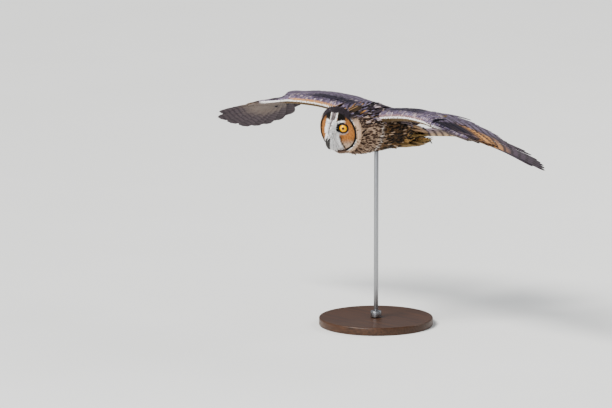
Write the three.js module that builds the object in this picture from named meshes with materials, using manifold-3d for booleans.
// Long-eared owl (Asio otus) in level flight, life size, on a plain display stand.
// Millimetres, +Z up. The owl flies towards -Y, its left wing is on +X. The origin is the middle of the
// stand's underside. Inside the bird group the origin is the point midway between the shoulders' front edges.
import * as THREE from "three";
import { mergeVertices } from "three/addons/utils/BufferGeometryUtils.js";
import Module from "manifold-3d";

const wasm = await Module();
wasm.setup();
const V = (x, y, z) => new THREE.Vector3(x, y, z);
const DEGREE = Math.PI / 180;

// Driving dimensions
const GAP = 0.35;
const SHOULDER_HEIGHT = 430;
const STAND_BEHIND_SHOULDERS = 30;
const BASE_RADIUS = 115;
const BASE_THICKNESS = 16;
const BASE_CHAMFER = 3;
const ROD_RADIUS = 4.5;
const COLLAR_RADIUS = 11;
const COLLAR_HEIGHT = 12;

// Trunk, from the throat to the root of the tail: distance back, middle height, half width, half depth
const TRUNK = [
  { y: -62, z: -22, wide: 24, deep: 33 },
  { y: -45, z: -24, wide: 38, deep: 46 },
  { y: -20, z: -24, wide: 45, deep: 51 },
  { y: 10, z: -23, wide: 47, deep: 52 },
  { y: 45, z: -28, wide: 45, deep: 45 },
  { y: 80, z: -36, wide: 37, deep: 34 },
  { y: 108, z: -43, wide: 28, deep: 24 },
  { y: 132, z: -48, wide: 20, deep: 15 },
  { y: 152, z: -51, wide: 14, deep: 8 },
  { y: 168, z: -53, wide: 8, deep: 4 },
];
const TRUNK_RINGS = 16;
const TRUNK_SIDES = 24;
const NECK_CUT = -24;
const TAIL_CUT = 122;

// Head
const HEAD_AT = V(0, -64, -16.5);
const HEAD_YAW = 6;
const HEAD_PITCH = 8;
const FACE_HALF_WIDTH = 44;
const FACE_HALF_HEIGHT = 41;
const FACE_FRONT = 38;
const RIM_BEHIND_FRONT = 25;
const RIDGE_PROUD = 11;
const HEAD_BACK = 42;
const EYE_APART = 19.5;
const EYE_HEIGHT = 8;
const EYE_RADIUS = 10.2;
const EYE_OUTWARD = 24;
const LID_RADIUS = 8.9;
const TUFT_LENGTH = 52;

// Wing: front edge from the shoulder to the wrist, and the flesh behind it
const WING_FRONT = [V(8, 4, -10), V(36, -3, 0), V(115, -14, 12), V(180, -29, 14), V(209, -33, 11)];
const WRIST = V(205, -27, 11);
const ARM_CHORD = [64, 58, 40];
const ARM_DEPTH = [30, 22, 13];
const ARM_RINGS = 9;
const HAND_LENGTH = 92;
const HAND_CHORD = 34;
const HAND_DEPTH = 12;
const SECONDARIES = 13;
const PRIMARIES = 10;
const LONGEST_PRIMARY = 278;
const SHORTEST_PRIMARY = 162;
const OUTERMOST_SHORTER_BY = 32;
const VANE_THICK = 0.7;
const FLIGHT_WIDTH = 30;

// The two wings are posed alike but for the twist, spread and droop of the hand
const WING_POSES = {
  left: {
    side: 1,
    frontAngle: 9,
    droop: 0.226,
    twistOuter: 0.15,
    twistInner: 0.18,
    twistPower: 1.2,
    twistAtFront: 0,
    spread: 51,
    spreadPower: 1.5,
    lengthPower: 1.25,
    armArch: 8,
    wristArch: 8,
    handArch: 6,
    innerHandArch: 6,
    wristRise: 0,
    armEdge: [V(54, 104, -18), V(92, 134, -5), V(150, 138, -4), V(200, 122, -14), V(244, 115, -20)],
  },
  right: {
    side: -1,
    frontAngle: 11,
    droop: 0.16,
    twistOuter: 0.67,
    twistInner: 0.06,
    twistPower: 1.6,
    twistAtFront: -0.26,
    spread: 49,
    spreadPower: 1.25,
    lengthPower: 2.2,
    armArch: 8,
    wristArch: 12,
    handArch: 1.5,
    innerHandArch: 11,
    wristRise: 3,
    armEdge: [V(54, 104, -18), V(92, 134, -4), V(150, 136, 4), V(200, 123, 8), V(246, 118, -4)],
  },
};

// Tail
const TAIL_FEATHERS = 12;
const TAIL_LENGTH = 142;
const TAIL_ROOT = V(0, 122, -47);
const TAIL_HALF_SPREAD = 15;
const TAIL_DROOP = 3.5;

// Solid of a closed geometry, with its faces turned outwards
function solid(geometry) {
  const plain = geometry.clone();
  plain.deleteAttribute("normal");
  plain.deleteAttribute("uv");
  const merged = mergeVertices(plain, 1e-4);
  const triVerts = new Uint32Array(merged.index.array);
  const vertProperties = new Float32Array(merged.attributes.position.array);
  const made = new wasm.Manifold(new wasm.Mesh({ numProp: 3, vertProperties, triVerts }));
  if (made.volume() >= 0) return made;
  for (let i = 0; i < triVerts.length; i += 3) {
    [triVerts[i + 1], triVerts[i + 2]] = [triVerts[i + 2], triVerts[i + 1]];
  }
  return new wasm.Manifold(new wasm.Mesh({ numProp: 3, vertProperties, triVerts }));
}

function largest(made) {
  return made.decompose().reduce((best, s) => (s.volume() > best.volume() ? s : best));
}

function join(solids) {
  return wasm.Manifold.union(solids);
}

function geometryOf(made) {
  const mesh = made.getMesh();
  const positions = new Float32Array(mesh.numVert * 3);
  for (let i = 0; i < mesh.numVert; i++) {
    positions.set(mesh.vertProperties.subarray(i * mesh.numProp, i * mesh.numProp + 3), i * 3);
  }
  const geometry = new THREE.BufferGeometry();
  geometry.setAttribute("position", new THREE.BufferAttribute(positions, 3));
  geometry.setIndex(new THREE.BufferAttribute(new Uint32Array(mesh.triVerts), 1));
  geometry.computeVertexNormals();
  return geometry;
}

// Closed surface through rings of as many points each, with a point in the middle of each end
function loft(rings) {
  const sides = rings[0].length;
  const points = rings.flat();
  const triangles = [];
  for (let r = 0; r + 1 < rings.length; r++) {
    for (let i = 0; i < sides; i++) {
      const a = r * sides + i;
      const b = r * sides + ((i + 1) % sides);
      triangles.push(a, b, b + sides, a, b + sides, a + sides);
    }
  }
  [0, rings.length - 1].forEach((r) => {
    const middle = points.length;
    const centre = rings[r].reduce((sum, p) => sum.add(p), V(0, 0, 0)).divideScalar(sides);
    points.push(centre);
    for (let i = 0; i < sides; i++) {
      const a = r * sides + i;
      const b = r * sides + ((i + 1) % sides);
      if (r === 0) triangles.push(middle, b, a);
      else triangles.push(middle, a, b);
    }
  });
  const geometry = new THREE.BufferGeometry();
  const coordinates = points.flatMap((p) => [p.x, p.y, p.z]);
  geometry.setAttribute("position", new THREE.Float32BufferAttribute(coordinates, 3));
  geometry.setIndex(triangles);
  return geometry;
}

// Round tube along a smooth curve through points, with a radius at each
function tube(points, radii, rings, sides, flatten = 1) {
  const curve = new THREE.CatmullRomCurve3(points);
  const sizes = new THREE.CatmullRomCurve3(radii.map((r, i) => V(r, i, 0)));
  const loops = [];
  for (let k = 0; k <= rings; k++) {
    const t = k / rings;
    const centre = curve.getPoint(t);
    const along = curve.getTangent(t).normalize();
    const upright = along.x ** 2 + along.z ** 2 > 1e-4;
    const across = upright ? V(0, 1, 0).cross(along).normalize() : V(1, 0, 0);
    const over = along.clone().cross(across).normalize();
    const radius = Math.max(sizes.getPoint(t).x, 0.3);
    const loop = [];
    for (let i = 0; i < sides; i++) {
      const angle = (2 * Math.PI * i) / sides;
      loop.push(
        centre
          .clone()
          .addScaledVector(across, radius * Math.cos(angle))
          .addScaledVector(over, radius * flatten * Math.sin(angle)),
      );
    }
    loops.push(loop);
  }
  return loft(loops);
}

// How wide a vane is along its length, as a share of its full width
const FLIGHT_SHAPE = [[0, 0.45], [0.3, 0.95], [0.7, 1], [0.92, 0.76], [1, 0.22]];
const COVERT_SHAPE = [[0, 0.7], [0.5, 1], [0.88, 0.84], [1, 0.3]];

// One feather: a thin tapered strip from root to tip. Its front edge is lifted by tilt, so that it lies over
// the back edge of the next feather outwards.
function vane({ root, tip, up, width, front = 0.42, arch = 0, tilt = 5, thick = VANE_THICK, shape = FLIGHT_SHAPE }) {
  const axis = tip.clone().sub(root);
  const along = axis.clone().normalize();
  const normal = up.clone().addScaledVector(along, -up.dot(along)).normalize();
  const side = along.clone().cross(normal);
  const rings = shape.map(([t, share]) => {
    const lean = tilt * DEGREE * (1.35 - 0.6 * t);
    const across = side.clone().multiplyScalar(Math.cos(lean)).addScaledVector(normal, Math.sin(lean));
    const over = normal.clone().multiplyScalar(Math.cos(lean)).addScaledVector(side, -Math.sin(lean));
    const centre = root.clone().addScaledVector(axis, t).addScaledVector(normal, arch * 4 * t * (1 - t));
    const half = (thick * (1 - 0.35 * t)) / 2;
    const corner = (reach, height) => centre.clone().addScaledVector(across, reach).addScaledVector(over, height);
    const leading = width * share * front;
    const trailing = -width * share * (1 - front);
    return [corner(leading, half), corner(trailing, half), corner(trailing, -half), corner(leading, -half)];
  });
  return stripOf(rings);
}

// Closed strip through rings of four points, with the same diagonals on its two broad faces
function stripOf(rings) {
  const points = rings.flat();
  const triangles = [];
  const last = (rings.length - 1) * 4;
  for (let r = 0; r + 1 < rings.length; r++) {
    const a = r * 4;
    const b = a + 4;
    triangles.push(a, a + 1, b + 1, a, b + 1, b);
    triangles.push(a + 1, a + 2, b + 2, a + 1, b + 2, b + 1);
    triangles.push(a + 2, a + 3, b + 2, a + 3, b + 3, b + 2);
    triangles.push(a + 3, a, b, a + 3, b, b + 3);
  }
  triangles.push(0, 2, 1, 0, 3, 2);
  triangles.push(last, last + 1, last + 2, last, last + 2, last + 3);
  const geometry = new THREE.BufferGeometry();
  const coordinates = points.flatMap((p) => [p.x, p.y, p.z]);
  geometry.setAttribute("position", new THREE.Float32BufferAttribute(coordinates, 3));
  geometry.setIndex(triangles);
  return geometry;
}

// Trunk, drawn out by a little for the gap that its neighbours keep
function trunk(grow = 0) {
  const middle = new THREE.CatmullRomCurve3(TRUNK.map((s) => V(s.y, s.z, 0)));
  const size = new THREE.CatmullRomCurve3(TRUNK.map((s) => V(s.wide, s.deep, 0)));
  const rings = [];
  for (let k = 0; k <= TRUNK_RINGS; k++) {
    const t = k / TRUNK_RINGS;
    const place = middle.getPoint(t);
    const half = size.getPoint(t);
    const end = k === 0 ? -grow : k === TRUNK_RINGS ? grow : 0;
    const ring = [];
    for (let i = 0; i < TRUNK_SIDES; i++) {
      const angle = (2 * Math.PI * i) / TRUNK_SIDES;
      ring.push(V((half.x + grow) * Math.cos(angle), place.x + end, place.y + (half.y + grow) * Math.sin(angle)));
    }
    rings.push(ring);
  }
  return solid(loft(rings));
}

// Head's own frame: face towards -Y, +Z up, before it is turned and set at HEAD_AT
function turnHead(object) {
  object.rotation.set(HEAD_PITCH * DEGREE, 0, HEAD_YAW * DEGREE, "ZXY");
  object.position.copy(HEAD_AT);
  object.updateMatrix();
  return object.matrix;
}
const HEAD_FRAME = turnHead(new THREE.Object3D());

// Depth of the face: a ridge between the eyes that runs down to the bill, and a shallow dish round each eye
function faceDepth(x, z) {
  const across = Math.abs(x) / FACE_HALF_WIDTH;
  const up = z / FACE_HALF_HEIGHT;
  const wrap = (RIM_BEHIND_FRONT - 4) * across ** 1.1 + 15 * Math.abs(up) ** 2.4 * (1 - 0.35 * across);
  const offEye = ((Math.abs(x) - EYE_APART) ** 2 + (z - EYE_HEIGHT) ** 2) / (2 * 12 ** 2);
  const dish = 4.2 * Math.exp(-offEye);
  const ridge = RIDGE_PROUD * Math.exp(-(x ** 2) / 75 - ((z + 8) / 26) ** 4);
  return -FACE_FRONT + wrap + dish - ridge;
}

function headSolid(grow = 0) {
  const sides = 30;
  const rings = [];
  const point = (share, angle, y, swell = 0) => {
    const narrow = 1 - 0.06 * Math.sin(angle);
    return V(
      (FACE_HALF_WIDTH * share + swell) * Math.cos(angle) * narrow,
      y,
      (FACE_HALF_HEIGHT * share + swell) * Math.sin(angle),
    );
  };
  for (const share of [0.12, 0.32, 0.5, 0.68, 0.85, 0.97]) {
    rings.push(ringOf(sides, (angle) => {
      const flat = point(share, angle, 0);
      return V(flat.x, faceDepth(flat.x, flat.z) - grow, flat.z);
    }));
  }
  const rimDepth = (angle) => {
    const flat = point(0.97, angle, 0);
    return faceDepth(flat.x, flat.z);
  };
  rings.push(ringOf(sides, (angle) => point(1.03, angle, rimDepth(angle) - 2.4 - grow, grow)));
  rings.push(ringOf(sides, (angle) => point(1.09, angle, rimDepth(angle) + 3, grow)));
  for (const turn of [12, 32, 50, 66, 81]) {
    const share = 1.09 * Math.cos(turn * DEGREE) ** 0.8;
    const back = Math.sin(turn * DEGREE);
    rings.push(ringOf(sides, (angle) => {
      const front = rimDepth(angle) + 3;
      return point(share, angle, front + (HEAD_BACK + grow - front) * back, grow);
    }));
  }
  return solid(loft(rings)).transform(HEAD_FRAME.elements);
}

function ringOf(sides, at) {
  return Array.from({ length: sides }, (_, i) => at((2 * Math.PI * i) / sides));
}

// Where each eye sits, in the head's own frame, and the way it looks
function eyePlace(side) {
  const look = V(side * Math.sin(EYE_OUTWARD * DEGREE), -Math.cos(EYE_OUTWARD * DEGREE), 0);
  const surface = V(side * EYE_APART, faceDepth(EYE_APART, EYE_HEIGHT), EYE_HEIGHT);
  const centre = surface.clone().addScaledVector(look, -EYE_RADIUS * 0.55);
  return { look, centre };
}

function eyeball(side, grow) {
  const { centre } = eyePlace(side);
  const ball = new THREE.SphereGeometry(EYE_RADIUS + grow, 16, 10);
  ball.translate(centre.x, centre.y, centre.z);
  return solid(ball).transform(HEAD_FRAME.elements);
}

// Lid: a soft ring round the eye's opening, lower over the top of the eye than below it
function lid(side) {
  const { look, centre } = eyePlace(side);
  const ring = new THREE.TorusGeometry(LID_RADIUS, 1.7, 5, 16);
  const holder = new THREE.Object3D();
  holder.position.copy(centre).addScaledVector(look, EYE_RADIUS * 0.52);
  holder.lookAt(holder.position.clone().add(look).add(V(0, 0, -0.12)));
  holder.updateMatrix();
  ring.applyMatrix4(holder.matrix);
  return solid(ring).transform(HEAD_FRAME.elements);
}

// Bill: hooked upper half with a nostril each side, and a smaller lower half
function upperBill(grow = 0) {
  const line = [V(0, -38, -4), V(0, -49.5, -10), V(0, -53, -18), V(0, -51.5, -26), V(0, -48, -31)];
  const radii = [6.2, 6, 5, 3.2, 0.8];
  const bill = solid(tube(line, radii.map((r) => r + grow), 7, 10));
  if (grow) return bill;
  const nostrils = [1, -1].map((side) => {
    const hole = new THREE.SphereGeometry(1.1, 8, 6);
    hole.translate(side * 5.2, -48, -10.5);
    return solid(hole);
  });
  return bill.subtract(join(nostrils));
}

function lowerBill(grow = 0) {
  const line = [V(0, -36, -16), V(0, -43.5, -20.5), V(0, -47, -25.5), V(0, -47, -29)];
  return solid(tube(line, [5, 4.6, 3.4, 1.2].map((r) => r + grow), 4, 8));
}

// Ear tuft: long feathers laid back along the side of the crown
function earTuft(side) {
  const count = 5;
  const feathers = [];
  for (let i = 0; i < count; i++) {
    const share = i / (count - 1);
    const root = V(side * (17 + 5 * share), -14 + 9 * share, 35 - 5 * share);
    const length = TUFT_LENGTH * (1 - 0.42 * Math.abs(share - 0.35));
    const tip = root.clone().add(V(side * (3 + 3.5 * share), length * 0.95, length * (0.13 - 0.08 * share)));
    feathers.push(solid(vane({
      root,
      tip,
      up: V(side * (0.55 + 0.35 * share), -0.05, 1),
      width: 8.5,
      front: 0.5,
      arch: 3,
      tilt: side * 9,
      thick: 1.1,
      shape: COVERT_SHAPE,
    })));
  }
  return join(feathers).transform(HEAD_FRAME.elements);
}

// Wing, in the left wing's sense; the right one is mirrored at the end
function wingFleshRings() {
  const front = new THREE.CatmullRomCurve3(WING_FRONT);
  const chord = new THREE.CatmullRomCurve3(ARM_CHORD.map((c, i) => V(c, i, 0)));
  const depth = new THREE.CatmullRomCurve3(ARM_DEPTH.map((d, i) => V(d, i, 0)));
  const rings = [];
  for (let k = 0; k <= ARM_RINGS; k++) {
    const t = k / ARM_RINGS;
    const edge = front.getPoint(t);
    rings.push(sectionRing(edge, V(0.04 * t, 1, 0.02), V(0, 0, 1), chord.getPoint(t).x, depth.getPoint(t).x));
  }
  return rings;
}

// Section of the wing's flesh: blunt in front, thin behind, fuller above than below
function sectionRing(edge, backwards, up, chord, depth) {
  const back = backwards.clone().normalize();
  return ringOf(12, (angle) => {
    const share = (1 - Math.cos(angle)) / 2;
    const fullness = Math.sin(angle) * (1 - 0.45 * share);
    const height = depth * (fullness > 0 ? 0.62 : 0.46) * fullness + depth * 0.1 * share;
    return edge.clone().addScaledVector(back, chord * share).addScaledVector(up, height);
  });
}

function handDirection(pose, angle, twist) {
  const out = Math.cos(angle * DEGREE);
  const back = Math.sin(angle * DEGREE);
  return V(out, back, -(pose.droop * out + twist * back));
}

// Angle, twist and length of each primary, counted from the innermost (0) to the outermost (PRIMARIES - 1)
function primaryOf(pose, i) {
  const inward = (PRIMARIES - 1 - i) / (PRIMARIES - 1);
  const angle = pose.frontAngle + pose.spread * inward ** pose.spreadPower;
  const evenTwist = THREE.MathUtils.lerp(pose.twistOuter, pose.twistInner, inward ** pose.twistPower);
  const twist = evenTwist + pose.twistAtFront * (1 - inward) ** 4;
  const shortening = (LONGEST_PRIMARY - SHORTEST_PRIMARY) * inward ** pose.lengthPower;
  const outermost = i === PRIMARIES - 1 ? OUTERMOST_SHORTER_BY : 0;
  const length = LONGEST_PRIMARY - shortening - outermost;
  const tip = WRIST.clone().addScaledVector(handDirection(pose, angle, twist).normalize(), length);
  return { inward, angle, twist, tip };
}

function handNormal(pose, twist) {
  return V(pose.droop, twist, 1).normalize();
}

function handFlesh(pose) {
  const rings = [];
  const steps = 6;
  for (let k = 0; k <= steps; k++) {
    const t = k / steps;
    const reach = THREE.MathUtils.lerp(-16, HAND_LENGTH, t);
    const along = handDirection(pose, pose.frontAngle, 0.1).normalize();
    const edge = WRIST.clone().add(V(0, -5.5 * (1 - 0.6 * t), 0)).addScaledVector(along, reach);
    const chord = HAND_CHORD * (1 - 0.72 * t) + 4;
    const depth = HAND_DEPTH * (1 - 0.68 * t);
    const backwards = V(0.12 * t, 1, -THREE.MathUtils.lerp(0.05, pose.twistOuter, t));
    rings.push(sectionRing(edge, backwards, handNormal(pose, pose.twistInner), chord, depth));
  }
  return solid(loft(rings));
}

// Trailing edge of the arm, from beside the tail to the wrist
function armTips(pose) {
  const first = primaryOf(pose, 0).tip;
  return new THREE.CatmullRomCurve3([...pose.armEdge, first.clone().add(V(-13, 1, 4))]);
}

function flightFeathers(pose) {
  const feathers = [];
  const tips = armTips(pose);
  const front = new THREE.CatmullRomCurve3(WING_FRONT);
  for (let i = 0; i < SECONDARIES; i++) {
    const t = i / (SECONDARIES - 1);
    const root = front.getPoint(0.2 + 0.78 * t).add(V(0, 34 - 14 * t, -1 + (1.5 + pose.wristRise) * t));
    const tip = tips.getPoint(t);
    const up = V(0.05 * t + pose.droop * t ** 3 * 0.6, 0.12, 1);
    const arch = THREE.MathUtils.lerp(pose.armArch, pose.wristArch, t);
    feathers.push({ root, tip, up, arch, width: FLIGHT_WIDTH, front: 0.42, tilt: 5 });
  }
  for (let i = 0; i < PRIMARIES; i++) {
    const { inward, twist, tip } = primaryOf(pose, i);
    const along = handDirection(pose, pose.frontAngle, 0.1).normalize();
    const reach = 6 + (HAND_LENGTH - 26) * (1 - inward);
    const root = WRIST.clone().addScaledVector(along, reach).add(V(0, 3 + 12 * inward, -1 + 2 * inward));
    const width = FLIGHT_WIDTH + 1 - 9 * (1 - inward) ** 5;
    const up = handNormal(pose, twist);
    const arch = THREE.MathUtils.lerp(pose.handArch, pose.innerHandArch, inward ** 2);
    feathers.push({ root, tip, up, arch, width, front: 0.3 + 0.14 * inward, tilt: 5 });
  }
  return feathers;
}

// A row of coverts: each lies over a flight feather and its neighbour, raised by lift and shorter by share
function covertsOver(feathers, { lift, rootShare, tipShare, width }) {
  return feathers.filter((_, i) => i % 2 === 0).map((f) => {
    const axis = f.tip.clone().sub(f.root);
    const normal = f.up.clone().normalize();
    const root = f.root.clone().addScaledVector(axis, rootShare).addScaledVector(normal, lift * 0.9);
    const rise = f.arch * 4 * tipShare * (1 - tipShare);
    const tip = f.root.clone().addScaledVector(axis, tipShare).addScaledVector(normal, lift + rise);
    return { ...f, root, tip, width: f.width * width, arch: f.arch * 0.25, shape: COVERT_SHAPE };
  });
}

// Alula: three short stiff feathers on the front of the wrist
function alula(pose) {
  const along = handDirection(pose, pose.frontAngle + 2, 0.1).normalize();
  return Array.from({ length: 3 }, (_, i) => ({
    root: WRIST.clone().addScaledVector(along, 2).add(V(0, -2 + 3 * i, 3 + 0.7 * i)),
    tip: WRIST.clone().addScaledVector(along, 70 - 9 * i).add(V(0, -1 + 6 * i, 2.2 + i)),
    up: handNormal(pose, 0.05),
    arch: 1.5,
    width: 13,
    front: 0.4,
    tilt: 5,
    shape: COVERT_SHAPE,
  }));
}

function wing(pose) {
  const flight = flightFeathers(pose);
  const rows = [
    ...flight,
    ...covertsOver(flight, { lift: 3.2, rootShare: 0.02, tipShare: 0.44, width: 1.1 }),
    ...alula(pose),
  ];
  const feathers = rows.map((f) => solid(vane(f)));
  const whole = join([solid(loft(wingFleshRings())), handFlesh(pose), ...feathers]);
  return pose.side > 0 ? whole : whole.mirror([1, 0, 0]);
}

// The wing is parted at the wrist by a thin cut that follows the innermost primary
function partWing(name, pose) {
  const whole = wing(pose);
  const first = primaryOf(pose, 0).tip;
  const wristBack = V(WRIST.x - 2, WRIST.y, 0);
  const cutLine = V(first.x - 14, first.y, 0).sub(wristBack).normalize();
  const outwards = V(cutLine.y, -cutLine.x, 0);
  const offset = wristBack.dot(outwards);
  const normal = [outwards.x * pose.side, outwards.y, 0];
  const away = normal.map((n) => -n);
  const hand = whole.trimByPlane(normal, offset + GAP / 2);
  const arm = whole.trimByPlane(away, -offset + GAP / 2);
  return { [`wing_${name}_arm`]: arm, [`wing_${name}_hand`]: hand };
}

// Tail: twelve feathers in a shallow fan, the middle pair uppermost
function tail() {
  const feathers = [];
  for (let i = 0; i < TAIL_FEATHERS; i++) {
    const offMiddle = i - (TAIL_FEATHERS - 1) / 2;
    const side = Math.sign(offMiddle);
    const rank = Math.abs(offMiddle) - 0.5;
    const turn = (offMiddle / (TAIL_FEATHERS / 2)) * TAIL_HALF_SPREAD * DEGREE;
    const drop = rank * 1.35 + (side > 0 ? 0.55 : 0);
    const root = TAIL_ROOT.clone().add(V(offMiddle * 1.9, -4, -drop * 0.8));
    const length = TAIL_LENGTH - 1.1 * rank ** 1.6;
    const tip = root.clone().add(
      V(Math.sin(turn) * length, Math.cos(turn) * length, -length * Math.sin(TAIL_DROOP * DEGREE) - drop * 0.5),
    );
    feathers.push(solid(vane({
      root,
      tip,
      up: V(side * 0.04 * rank, 0.05, 1),
      width: 23,
      front: side > 0 ? 0.4 : 0.6,
      arch: 2.5,
      tilt: side * 4.2,
    })));
  }
  const coverts = [-1, 0, 1].map((k) => solid(vane({
    root: V(k * 9, 108, -38 - 1.2 * Math.abs(k)),
    tip: V(k * 17, 172 - 5 * Math.abs(k), -45.5 - 1.2 * Math.abs(k)),
    up: V(k * 0.05, 0.12, 1),
    width: 24,
    front: 0.5,
    arch: 2,
    tilt: 3 * Math.sign(k),
    shape: COVERT_SHAPE,
  })));
  const core = trunk().trimByPlane([0, 1, 0], TAIL_CUT + GAP);
  return join([core, ...feathers, ...coverts]).trimByPlane([0, 1, 0], TAIL_CUT + GAP);
}

// Leg: feathered thigh and shank drawn up and laid back under the belly
function leg(side) {
  const line = [
    V(side * 24, 34, -50),
    V(side * 24, 60, -55),
    V(side * 22, 88, -56),
    V(side * 21.5, 112, -57.5),
    V(side * 21.5, 126, -60),
  ];
  return solid(tube(line, [13, 13.5, 9.5, 6.6, 5.8], 8, 10));
}

const TOES = [
  { turn: -14, length: 25, lift: 0 },
  { turn: 4, length: 28, lift: -1.5 },
  { turn: 24, length: 22, lift: 0 },
  { turn: -36, length: 17, lift: -5 },
];

function toeLine(side, toe) {
  const start = V(side * 21.5, 126, -60);
  const heading = V(Math.sin(toe.turn * DEGREE) * side, Math.cos(toe.turn * DEGREE), 0);
  const at = (share, drop) => {
    const onward = start.clone().addScaledVector(heading, toe.length * share);
    return onward.add(V(0, 0, toe.lift * share - drop));
  };
  return { points: [at(0, 0), at(0.4, 0.6), at(0.75, 1.4), at(1, 2.8)], heading };
}

function foot(side) {
  const pad = new THREE.SphereGeometry(6, 9, 5);
  pad.scale(1, 1.15, 0.85);
  pad.translate(side * 21.5, 129, -60.5);
  const toes = TOES.map((toe) => solid(tube(toeLine(side, toe).points, [4.2, 4.1, 3.9, 3.3], 3, 7)));
  return join([solid(pad), ...toes]);
}

function claw(side, toe) {
  const { points } = toeLine(side, toe);
  const end = points[3];
  const onward = points[3].clone().sub(points[2]).normalize();
  const start = end.clone().addScaledVector(onward, GAP);
  const line = [
    start,
    start.clone().addScaledVector(onward, 4.5).add(V(0, 0, -0.3)),
    start.clone().addScaledVector(onward, 8.5).add(V(0, 0, -2.2)),
    start.clone().addScaledVector(onward, 11).add(V(0, -0.6, -5.6)),
  ];
  return solid(tube(line, [2.1, 1.8, 1.2, 0.35], 5, 6));
}

// Stand: a round base with a chamfered edge, a collar and one rod up to the breast
function standBase() {
  const profile = [
    new THREE.Vector2(0, 0),
    new THREE.Vector2(BASE_RADIUS, 0),
    new THREE.Vector2(BASE_RADIUS, BASE_THICKNESS - BASE_CHAMFER),
    new THREE.Vector2(BASE_RADIUS - BASE_CHAMFER, BASE_THICKNESS),
    new THREE.Vector2(0, BASE_THICKNESS),
  ];
  return solid(new THREE.LatheGeometry(profile, 40).rotateX(Math.PI / 2));
}

function upright(radius, from, to) {
  const post = new THREE.CylinderGeometry(radius, radius, to - from, 20);
  post.rotateX(Math.PI / 2);
  post.translate(0, 0, (from + to) / 2);
  return solid(post);
}

// Materials
const material = (color, roughness, metalness = 0) => new THREE.MeshStandardMaterial({ color, roughness, metalness });
const MATERIALS = {
  plumage: material("#8a6f57", 0.95),
  face: material("#b98452", 0.95),
  flight: material("#7b6457", 0.9),
  tuft: material("#3b2f2c", 0.95),
  leg: material("#c39a68", 0.95),
  horn: material("#2a2624", 0.45),
  eye: material("#f2a900", 0.12),
  base: material("#2b211b", 0.5),
  rod: material("#9a9c9e", 0.35, 0.9),
};

const owl = new THREE.Group();
const bird = new THREE.Group();
bird.position.set(0, -STAND_BEHIND_SHOULDERS, SHOULDER_HEIGHT);
owl.add(bird);

function addPart(group, name, made, finish) {
  const mesh = new THREE.Mesh(geometryOf(largest(made)), MATERIALS[finish]);
  mesh.name = name;
  group.add(mesh);
}

const trunkRoom = trunk(GAP);
const headRoom = headSolid(GAP);
const billRoom = join([upperBill(GAP), lowerBill(GAP)]).transform(HEAD_FRAME.elements);
const eyeRoom = join([eyeball(1, GAP), eyeball(-1, GAP)]);

addPart(bird, "head", join([headSolid(), lid(1), lid(-1)]).subtract(eyeRoom).subtract(billRoom), "face");
for (const [name, side] of [["left", 1], ["right", -1]]) {
  addPart(bird, `eye_${name}`, eyeball(side, 0), "eye");
  addPart(bird, `ear_tuft_${name}`, earTuft(side).subtract(headRoom), "tuft");
}
addPart(bird, "bill_upper", upperBill().transform(HEAD_FRAME.elements), "horn");
const lowerBillSolid = lowerBill().subtract(upperBill(GAP));
addPart(bird, "bill_lower", lowerBillSolid.transform(HEAD_FRAME.elements), "horn");
addPart(bird, "neck", trunk().trimByPlane([0, -1, 0], -NECK_CUT + GAP).subtract(headRoom), "plumage");
const middleOfTrunk = trunk().trimByPlane([0, 1, 0], NECK_CUT).trimByPlane([0, -1, 0], -TAIL_CUT);
addPart(bird, "torso", middleOfTrunk.subtract(headRoom), "plumage");
const tailSolid = tail();
addPart(bird, "tail", tailSolid, "flight");

for (const [name, pose] of Object.entries(WING_POSES)) {
  for (const [node, made] of Object.entries(partWing(name, pose))) {
    addPart(bird, node, made.subtract(trunkRoom).subtract(headRoom), "flight");
  }
  addPart(bird, `leg_${name}`, leg(pose.side).subtract(trunkRoom).trimByPlane([0, -1, 0], -120), "leg");
  const footSolid = foot(pose.side).trimByPlane([0, 1, 0], 120 + GAP).subtract(trunkRoom);
  addPart(bird, `foot_${name}`, footSolid, "leg");
  TOES.forEach((toe, i) => addPart(bird, `claw_${name}_${i + 1}`, claw(pose.side, toe), "horn"));
}

addPart(owl, "stand_base", standBase(), "base");
const collar = upright(COLLAR_RADIUS, BASE_THICKNESS + GAP, BASE_THICKNESS + COLLAR_HEIGHT);
addPart(owl, "stand_collar", collar, "rod");
const trunkInPlace = trunkRoom.translate(bird.position.toArray());
const rodFoot = BASE_THICKNESS + COLLAR_HEIGHT + GAP;
const rod = upright(ROD_RADIUS, rodFoot, SHOULDER_HEIGHT - 40).subtract(trunkInPlace);
addPart(owl, "stand_rod", rod, "rod");

export default owl;
